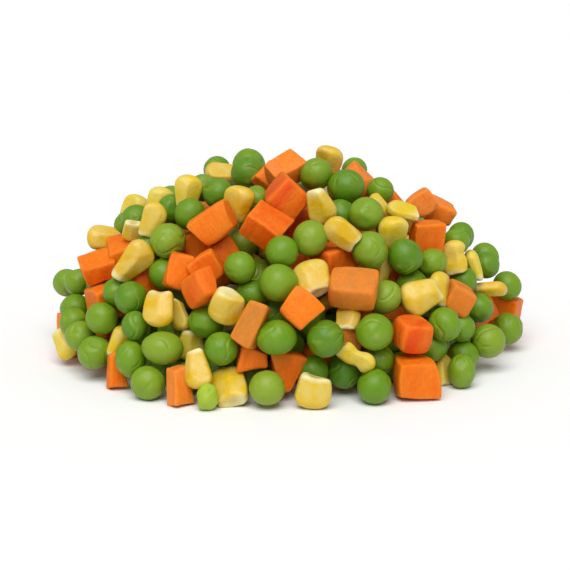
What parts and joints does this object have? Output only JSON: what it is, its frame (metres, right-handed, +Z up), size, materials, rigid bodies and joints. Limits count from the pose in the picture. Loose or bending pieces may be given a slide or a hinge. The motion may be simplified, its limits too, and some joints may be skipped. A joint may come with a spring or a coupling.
{
  "type": "heap of mixed frozen vegetables",
  "caption": "Loose heap of peas, diced carrot and sweetcorn kernels lying on a flat surface, for a kitchen, shop or food scene.",
  "frame": {"origin": "middle of the heap's footprint, on the surface that the heap lies on", "axes": "+Z up, +X to the right along the heap's longest extent, -Y towards the side that the picture shows"},
  "size_m": [0.1185, 0.1011, 0.0513],
  "materials": {
    "peas": "satin green pea skin",
    "carrot": "satin cut carrot",
    "sweetcorn": "satin yellow kernel skin"
  },
  "bodies": {
    "root": {"vegetable_heap": "peas"}
  },
  "joints": []
}
